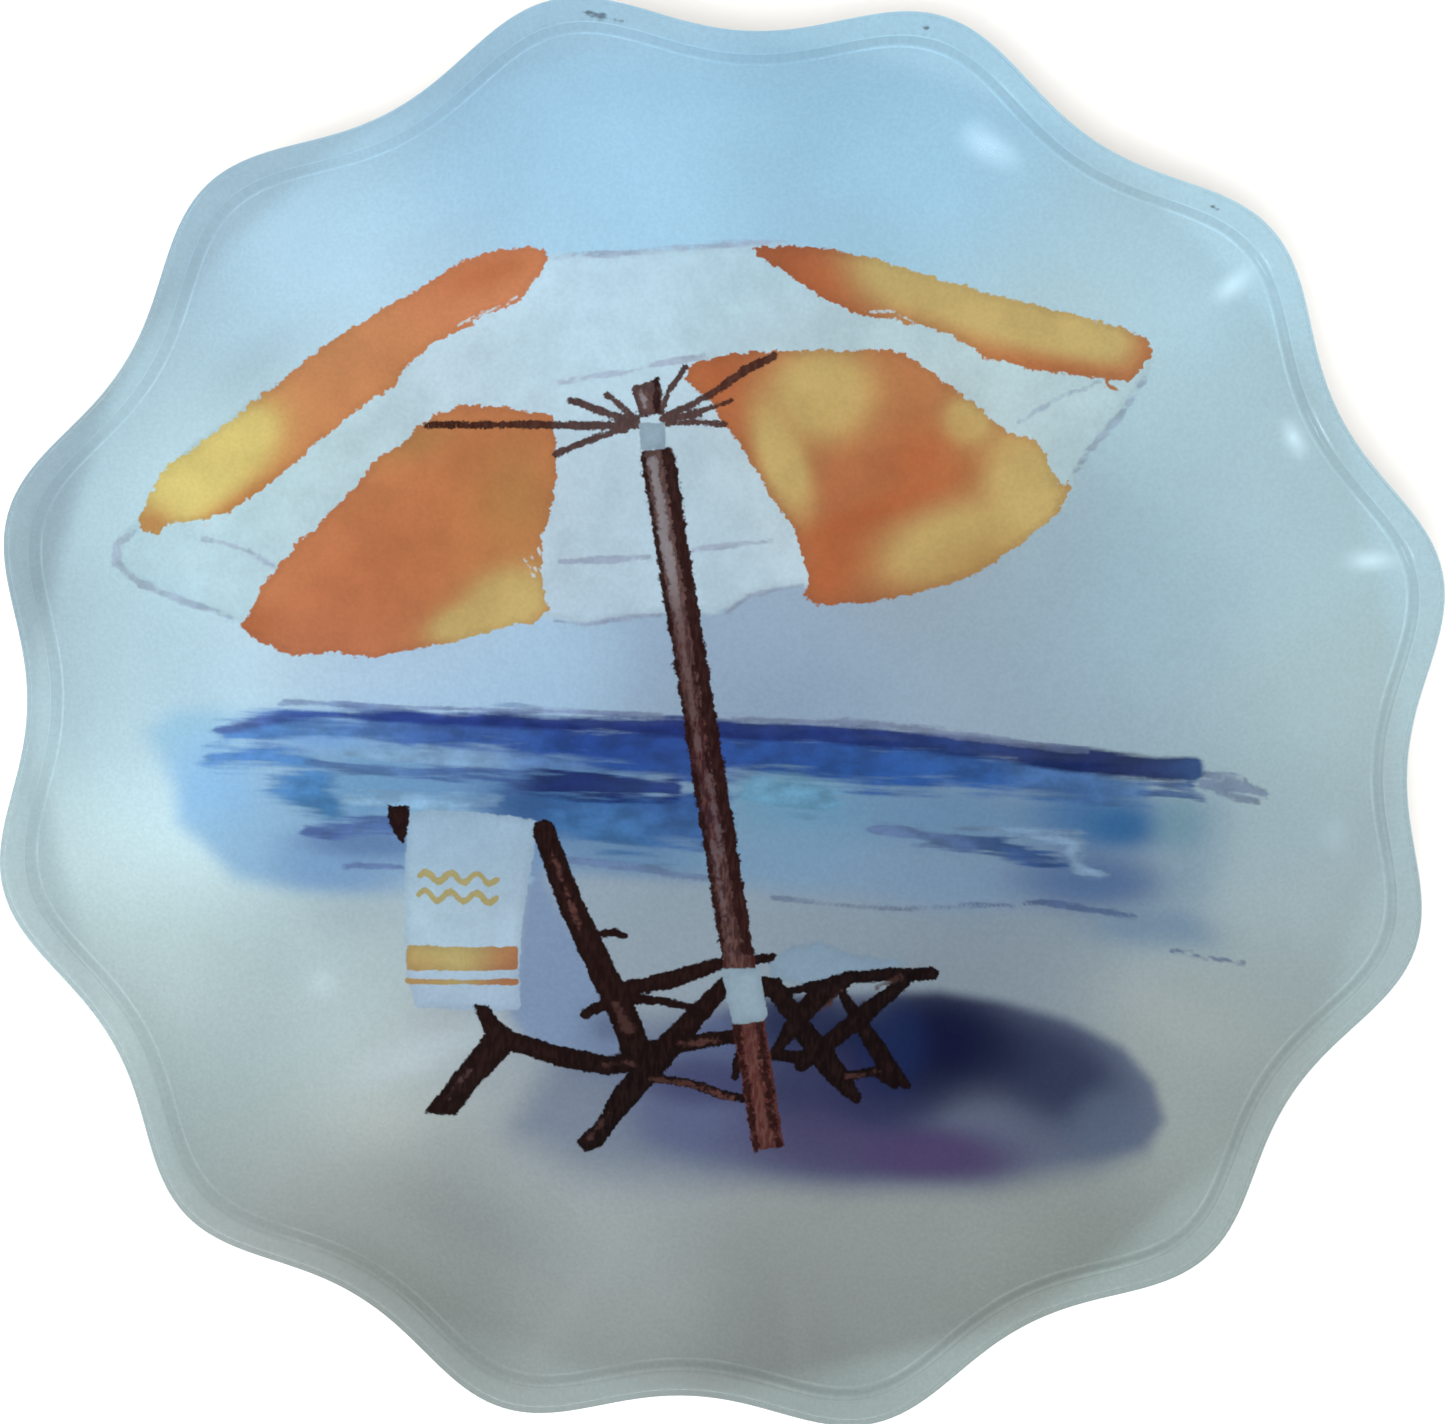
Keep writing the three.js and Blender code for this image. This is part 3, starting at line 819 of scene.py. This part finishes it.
# name, drawn by, softness and raggedness of its edge (mm), cover, edge drawn out by the brush, crayon grain
PAINT_LAYERS = (
    ("sea_strokes", sea_strokes, 3.0, 1.3, 0.95, 1.0, 0.0),
    ("pale_strokes", pale_strokes, 1.4, 0.9, 0.85, 1.0, 0.0),
    ("deep_strokes", deep_strokes, 1.0, 0.8, 0.9, 1.0, 0.0), ("canopy", canopy, 0.8, 0.5, 0.88, 0.0, 0.0),
    ("horizon", horizon, 1.0, 0.5, 0.95, 0.7, 0.0), ("thin_lines", thin_lines, 0.5, 0.5, 0.7, 0.5, 0.0),
    ("pale_cloth", pale_cloth, 0.8, 0.8, 0.75, 0.0, 0.0), ("towel", towel, 0.35, 0.3, 0.95, 0.0, 0.0),
    ("gold_bands", gold_bands, 0.2, 0.25, 0.95, 0.0, 0.0),
    ("warm_panels", warm_panels, 0.25, 0.7, 1.0, 0.0, 0.0),
    ("bare_flecks", bare_flecks, 0.2, 0.3, 0.85, 0.0, 0.0),
    ("chair_frame", chair_frame, 0.25, 0.3, 1.0, 0.0, 0.05),
    ("pole_and_ribs", pole_and_ribs, 0.22, 0.28, 0.97, 0.0, 0.35),
    ("pole_dark_sides", pole_dark_sides, 0.4, 0.7, 0.95, 0.0, 0.1),
    ("wood_lights", wood_lights, 0.5, 0.7, 0.75, 0.0, 0.0), ("collars", collars, 0.25, 0.3, 1.0, 0.0, 0.0),
    ("air_gap_shade", air_gap_shade, 0.3, 0.25, 0.7, 0.0, 0.0),
)


def paint(piece):
    """Lays the scene on the sheet as shapes and tints that its material reads."""
    mesh = piece.data
    points = np.empty(len(mesh.vertices) * 3)
    mesh.vertices.foreach_get("co", points)
    paper = Paper(points.reshape(-1, 3) / MM)
    store_colour(mesh, "wash", wash(paper))
    for name, layer, *_ in PAINT_LAYERS:
        shape, tint = layer(paper)
        store_number(mesh, name + "_edge", np.clip(shape, -6.0, 6.0))
        store_colour(mesh, name + "_tint", tint)


# ---------------------------------------------------------------- materials
class Nodes:
    """Short ways to add and join the nodes of one material."""

    def __init__(self, name):
        self.material = bpy.data.materials.new(name)
        self.material.use_nodes = True
        self.tree = self.material.node_tree
        self.tree.nodes.clear()
        self.output = self.add("ShaderNodeOutputMaterial")
        self.coordinates = self.add("ShaderNodeTexCoord").outputs["Object"]

    def add(self, kind, inputs=(), **settings):
        node = self.tree.nodes.new(kind)
        for key, value in settings.items():
            setattr(node, key, value)
        for key, value in dict(inputs).items():
            if isinstance(value, bpy.types.NodeSocket):
                self.tree.links.new(value, node.inputs[key])
            else:
                node.inputs[key].default_value = value
        return node

    def math(self, operation, first, second=0.0):
        return self.add("ShaderNodeMath", {0: first, 1: second}, operation=operation).outputs[0]

    def noise(self, size, detail=3.0, stretch=(1, 1, 1)):
        """Noise whose blotches are about `size` mm across, times `stretch` along x, y and z."""
        scale = [1.0 / (size * MM * share) for share in stretch]
        place = self.add("ShaderNodeVectorMath", {0: self.coordinates, 1: scale}, operation="MULTIPLY")
        inputs = {"Vector": place.outputs[0], "Scale": 1.0, "Detail": detail}
        return self.add("ShaderNodeTexNoise", inputs).outputs["Fac"]

    def span(self, value, low, high, to_low=0.0, to_high=1.0):
        return self.add(
            "ShaderNodeMapRange",
            {"Value": value, "From Min": low, "From Max": high, "To Min": to_low, "To Max": to_high},
            interpolation_type="SMOOTHSTEP",
        ).outputs["Result"]

    def mix(self, share, first, second):
        return self.add("ShaderNodeMix", {0: share, 6: first, 7: second}, data_type="RGBA").outputs[2]

    def attribute(self, name, output="Fac"):
        return self.add("ShaderNodeAttribute", attribute_name=name).outputs[output]

    def shade(self, colour, amount):
        """Colour made lighter or darker by a number round 1."""
        node = self.add("ShaderNodeVectorMath", {0: colour, "Scale": amount}, operation="SCALE")
        return node.outputs[0]

    def bump(self, height, distance, strength=1.0):
        inputs = {"Height": height, "Distance": distance * MM, "Strength": strength}
        return self.add("ShaderNodeBump", inputs).outputs["Normal"]

    def finish(self, shader):
        self.tree.links.new(shader, self.output.inputs["Surface"])
        return self.material


def rgba(red, green, blue):
    return (*linear(red, green, blue), 1.0)


class PaintNoises:
    """The unevenness that all painted layers share."""

    def __init__(self, nodes):
        self.rough = nodes.noise(1.5, detail=4.0)
        self.tooth = nodes.noise(0.6, detail=3.0)
        swing = nodes.math("MULTIPLY", nodes.math("SUBTRACT", self.rough, 0.5), 2.4)
        shiver = nodes.math("MULTIPLY", nodes.math("SUBTRACT", self.tooth, 0.5), 1.5)
        self.wander = nodes.math("ADD", swing, shiver)
        drag = nodes.noise(1.3, detail=4.0, stretch=(9, 1, 1))
        self.drawn_out = nodes.math("MULTIPLY", nodes.math("SUBTRACT", drag, 0.5), 6.0)
        self.grit = nodes.span(nodes.noise(0.35, detail=2.0), 0.3, 0.7, -0.09, 0.09)
        self.crayon = nodes.span(nodes.noise(0.45, detail=3.0, stretch=(1, 4, 1)), 0.42, 0.62)
        self.pigment = nodes.span(nodes.noise(7.0, detail=4.0), 0.3, 0.7, 0.93, 1.07)
        self.mottle = nodes.span(nodes.noise(2.2, detail=5.0, stretch=(1.8, 1, 1)), 0.3, 0.7, 0.78, 1.25)


def layer_over(nodes, colour, layer, noises):
    """One painted layer over the colour so far: ragged wet edge, pooled pigment, crayon grain."""
    name, _, softness, raggedness, cover, drawn_out, crayon = layer
    edge = nodes.attribute(name + "_edge")
    edge = nodes.math("ADD", edge, nodes.math("MULTIPLY", noises.wander, raggedness * (1.0 - drawn_out)))
    edge = nodes.math("ADD", edge, nodes.math("MULTIPLY", noises.drawn_out, raggedness * drawn_out))
    if crayon:
        edge = nodes.math("ADD", edge, noises.grit)
    share = nodes.span(edge, softness / 2, -softness / 2, 0.0, cover)
    dried_rim = nodes.span(edge, -1.4, -0.1, 1.0, 0.9)
    pooled = nodes.math("MULTIPLY", dried_rim, noises.mottle if drawn_out else noises.pigment)
    tint = nodes.shade(nodes.attribute(name + "_tint", "Color"), pooled)
    if crayon:
        heart = nodes.span(edge, -0.1, -1.3, 0.35, 1.0)
        rubbed = nodes.math("MULTIPLY", nodes.math("MULTIPLY", noises.crayon, heart), crayon)
        tint = nodes.mix(rubbed, tint, rgba(132, 92, 82))
    return nodes.mix(share, colour, tint)


def crease_shade_and_highlights(nodes, colour):
    """The fold where the dish's lip starts: a band of painted shade, fainter to the left, between fine
    lines of painted highlight.
    """
    ring = nodes.attribute("ring_radius")
    across = nodes.math("SUBTRACT", ring, CREASE_RADIUS + FOLD_SHADE_WIDTH / 2)
    off_band = nodes.math("ABSOLUTE", across)
    patchy = nodes.span(nodes.noise(12.0, detail=3.0), 0.35, 0.6, 0.35, 1.0)
    right = nodes.add("ShaderNodeSeparateXYZ", {0: nodes.coordinates}).outputs["X"]
    towards_right = nodes.span(right, -0.06, 0.05, 0.15, 1.0)
    shade_band = nodes.math("MULTIPLY", nodes.span(off_band, FOLD_SHADE_WIDTH / 2, FOLD_SHADE_WIDTH / 2 - 0.2), towards_right)
    off_line = nodes.math("ABSOLUTE", nodes.math("SUBTRACT", off_band, FOLD_SHADE_WIDTH / 2 + FOLD_HIGHLIGHT_WIDTH))
    # Painted highlight lines on each side of the shade band.
    line = nodes.math("MULTIPLY", nodes.span(off_line, FOLD_HIGHLIGHT_WIDTH, 0.0), patchy)
    crease_lighting = nodes.math("ADD", nodes.math("MULTIPLY", shade_band, -0.1), nodes.math("MULTIPLY", line, 0.22))
    return nodes.shade(colour, nodes.math("ADD", 1.0, crease_lighting))


def printed_paper():
    """Watercolour on rough paper: ragged wet edges, pooled pigment, granulation and tooth, and painted
    shade and highlights along the crease.
    """
    nodes = Nodes("printed_paper")
    noises = PaintNoises(nodes)
    colour = nodes.attribute("wash", "Color")
    for layer in PAINT_LAYERS:
        colour = layer_over(nodes, colour, layer, noises)
    grain = nodes.span(nodes.noise(0.5, detail=3.0), 0.32, 0.68, 0.96, 1.035)
    clouds = nodes.span(nodes.noise(18.0, detail=3.0), 0.3, 0.7, 0.975, 1.02)
    colour = crease_shade_and_highlights(nodes, nodes.shade(colour, nodes.math("MULTIPLY", grain, clouds)))
    relief = nodes.math("ADD", noises.tooth, nodes.math("MULTIPLY", noises.rough, 0.5))
    shader = nodes.add(
        "ShaderNodeBsdfPrincipled",
        {
            "Base Color": colour,
            "Roughness": nodes.span(noises.rough, 0.2, 0.8, 0.7, 0.9),
            "Normal": nodes.bump(relief, 0.1, 0.5),
            "IOR": 1.35,
        },
    )
    return nodes.finish(shader.outputs[0])


def clear_glass():
    """Pressed clear glass with a faint waviness. Lamps reach through it to the print."""
    nodes = Nodes("clear_glass")
    waviness = nodes.noise(14.0, detail=1.0)
    handling = nodes.noise(3.0, detail=4.0)
    glass = nodes.add(
        "ShaderNodeBsdfPrincipled",
        {
            "Base Color": rgba(253, 254, 253),
            "Roughness": nodes.span(handling, 0.3, 0.8, 0.12, 0.149),
            "IOR": 1.5,
            "Transmission Weight": 1.0,
            "Normal": nodes.bump(waviness, 0.15, 0.25),
        },
    )
    clear = nodes.add("ShaderNodeBsdfTransparent", {"Color": (0.99, 0.99, 0.985, 1.0)})
    for_lamps = nodes.add("ShaderNodeLightPath").outputs["Is Shadow Ray"]
    shader = nodes.add("ShaderNodeMixShader", {0: for_lamps, 1: glass.outputs[0], 2: clear.outputs[0]})
    return nodes.finish(shader.outputs[0])


def sealed_paper():
    """Off-white backing paper under a satin sealer, with laid fibres and a few brush marks."""
    nodes = Nodes("sealed_paper")
    fibres = nodes.noise(1.2, detail=4.0, stretch=(5, 1, 1))
    brush = nodes.noise(2.5, detail=2.0, stretch=(1, 12, 1))
    clouds = nodes.noise(25.0, detail=3.0)
    colour = nodes.mix(nodes.span(clouds, 0.3, 0.7), rgba(232, 226, 210), rgba(222, 214, 196))
    colour = nodes.shade(colour, nodes.span(fibres, 0.3, 0.7, 0.95, 1.03))
    shader = nodes.add(
        "ShaderNodeBsdfPrincipled",
        {
            "Base Color": colour,
            "Roughness": nodes.span(brush, 0.3, 0.7, 0.35, 0.55),
            "Normal": nodes.bump(nodes.math("ADD", fibres, brush), 0.06, 0.5),
        },
    )
    return nodes.finish(shader.outputs[0])


def clear_rubber():
    """Milky soft bumper with a little dust on it."""
    nodes = Nodes("clear_rubber")
    dust = nodes.noise(0.8, detail=4.0)
    colour = nodes.mix(nodes.span(dust, 0.45, 0.75), rgba(222, 226, 224), rgba(192, 194, 190))
    shader = nodes.add(
        "ShaderNodeBsdfPrincipled",
        {
            "Base Color": colour,
            "Roughness": nodes.span(dust, 0.3, 0.7, 0.22, 0.5),
            "Subsurface Weight": 0.3,
            "Subsurface Scale": 0.002,
            "Normal": nodes.bump(dust, 0.03, 0.4),
        },
    )
    return nodes.finish(shader.outputs[0])


def floor_paint():
    nodes = Nodes("studio_floor")
    colour = nodes.mix(nodes.span(nodes.noise(60.0), 0.3, 0.7), rgba(246, 246, 246), rgba(244, 244, 244))
    shader = nodes.add("ShaderNodeBsdfPrincipled", {"Base Color": colour, "Roughness": 0.9})
    return nodes.finish(shader.outputs[0])


# ---------------------------------------------------------------- pieces
GLASS_STEPS = 480
PRINT_STEPS = 720
PRINT_RING_GAP = 0.5
BACKING_STEPS = 360
FOOT_STEPS = 48
PAPER_ARRIS = 0.05
BACKING_ARRIS = 0.1


def place(piece, node, material, slot):
    piece.data.materials.append(material)
    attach(piece, "root")
    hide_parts(node)


def glass_plate():
    section = layer_section(0.0, GLASS_THICKNESS, 0.0, EDGE_ARRIS, groove=True)
    place(turned_mesh("pressed_glass", section, GLASS_STEPS), "glass_plate", clear_glass(), "clear_glass")


def art_print():
    radii = spaced(0.0, EDGE_RADIUS - PRINT_INSET - PAPER_ARRIS, PRINT_RING_GAP)
    bottom = PRINT_TOP + PRINT_THICKNESS
    section = layer_section(PRINT_TOP, bottom, PRINT_INSET, PAPER_ARRIS, top_radii=radii)
    piece = turned_mesh("watercolour_print", section, PRINT_STEPS)
    paint(piece)
    place(piece, "art_print", printed_paper(), "printed_paper")


def backing_sheet():
    section = layer_section(BACKING_TOP, BACKING_BOTTOM, BACKING_INSET, BACKING_ARRIS)
    piece = turned_mesh("sealed_back", section, BACKING_STEPS)
    place(piece, "backing_sheet", sealed_paper(), "sealed_paper")


def bumper(node, material):
    """A soft bumper: a flat foot, a domed side that swells a little, and a flat glued face."""
    (low_x, low_y, low_z), (high_x, high_y, _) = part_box(node)
    centre = ((low_x + high_x) / 2 / MM, (low_y + high_y) / 2 / MM)
    radius = (high_x - low_x) / 2 / MM
    low = low_z / MM
    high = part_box("backing_sheet")[0][2] / MM + FOOT_SINK
    foot_radius = radius * FOOT_FLAT_SHARE
    dome = (high - low) * FOOT_DOME_SHARE
    rows = [(0.0, low), (foot_radius * 0.5, low)]
    for share in np.linspace(0.0, 1.0, 9):
        turn = share * math.pi / 2
        reach = foot_radius + (radius - foot_radius) * math.sin(turn)
        rows.append((reach, low + dome * (1 - math.cos(turn))))
    rows += [(radius, high - FOOT_ARRIS), (radius - FOOT_ARRIS, high), (0.0, high)]
    piece = turned_mesh(node.replace("foot", "bumper"), rows, FOOT_STEPS)
    piece.data.transform(Matrix.Translation((centre[0] * MM, centre[1] * MM, 0.0)))
    place(piece, node, material, "clear_rubber")


def bumpers():
    material = clear_rubber()
    for node in sorted(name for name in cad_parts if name.startswith("foot_")):
        bumper(node, material)


# ---------------------------------------------------------------- studio
RIM_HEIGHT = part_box("glass_plate")[1][2] / MM
CAMERA_PLACE = Vector((-1.8, 76.5, 486.3 + RIM_HEIGHT)) * MM
CAMERA_TARGET = Vector((0.5, 3.0, RIM_HEIGHT)) * MM
CAMERA_ROLL = math.radians(2.42)
CAMERA_LENS = 89.2
HIGHLIGHT_RINGS = ((0.05, 0.08), (0.1, 0.18), (0.16, 0.28), (0.24, 0.36))
KEY_COLOUR = (0.72, 0.9, 1.0)
FLOOR_REACH = 3.0
ROOM_LIGHT = 0.6
ROOM_REFLECTION = 0.08


def camera():
    data = bpy.data.cameras.new("camera")
    data.lens = CAMERA_LENS
    data.sensor_width = 36.0
    data.clip_start = 0.01
    eye = bpy.data.objects.new("camera", data)
    back = (CAMERA_PLACE - CAMERA_TARGET).normalized()
    right = Vector((-math.sin(CAMERA_ROLL), math.cos(CAMERA_ROLL), 0.0)).cross(back).normalized()
    turn = Matrix((right, back.cross(right), back)).transposed()
    eye.matrix_world = Matrix.Translation(CAMERA_PLACE) @ turn.to_4x4()
    bpy.context.scene.collection.objects.link(eye)
    bpy.context.scene.camera = eye


def soft_box(name, bearing, elevation, distance, size, power, mirrored):
    """A round soft lamp that points at the plate. Only a mirrored one shows up in the glass."""
    data = bpy.data.lights.new(name, "AREA")
    data.shape = "DISK"
    data.size = size
    data.energy = power
    data.color = KEY_COLOUR if mirrored else (1.0, 1.0, 1.0)
    lamp = bpy.data.objects.new(name, data)
    lamp.visible_glossy = mirrored
    lamp.visible_transmission = False
    around, up = math.radians(bearing), math.radians(elevation)
    towards = Vector((math.cos(up) * math.cos(around), math.cos(up) * math.sin(around), math.sin(up)))
    lamp.location = towards * distance
    lamp.rotation_euler = towards.to_track_quat("Z", "Y").to_euler()
    bpy.context.scene.collection.objects.link(lamp)


def pale_room():
    """A plain pale room that lights the floor evenly and shows up only faintly in the glass."""
    world = bpy.data.worlds.new("studio")
    world.use_nodes = True
    world.cycles_visibility.transmission = False
    tree = world.node_tree
    mixed = tree.nodes.new("ShaderNodeMixShader")
    tree.links.new(tree.nodes.new("ShaderNodeLightPath").outputs["Is Glossy Ray"], mixed.inputs[0])
    for slot, strength in ((1, ROOM_LIGHT), (2, ROOM_REFLECTION)):
        room = tree.nodes.new("ShaderNodeBackground")
        room.inputs["Color"].default_value = (1.0, 1.0, 1.0, 1.0)
        room.inputs["Strength"].default_value = strength
        tree.links.new(room.outputs[0], mixed.inputs[slot])
    tree.links.new(mixed.outputs[0], tree.nodes["World Output"].inputs["Surface"])
    return world


def studio():
    mesh = bpy.data.meshes.new("floor")
    corners = [(x * FLOOR_REACH, y * FLOOR_REACH, 0) for x, y in ((-1, -1), (1, -1), (1, 1), (-1, 1))]
    mesh.from_pydata(corners, [], [(0, 1, 2, 3)])
    floor = bpy.data.objects.new("floor", mesh)
    floor.data.materials.append(floor_paint())
    bpy.context.scene.collection.objects.link(floor)
    bpy.context.scene.world = pale_room()
    soft_box("overhead", bearing=222, elevation=80, distance=2.8, size=2.6, power=82.0, mirrored=False)
    soft_box("side", bearing=235, elevation=40, distance=2.0, size=1.8, power=7.5, mirrored=False)
    for size, power in HIGHLIGHT_RINGS:
        soft_box("key", bearing=222, elevation=34, distance=1.1, size=size, power=power, mirrored=True)
    bpy.context.scene.view_settings.view_transform = "Standard"


camera()
studio()
glass_plate()
art_print()
backing_sheet()
bumpers()
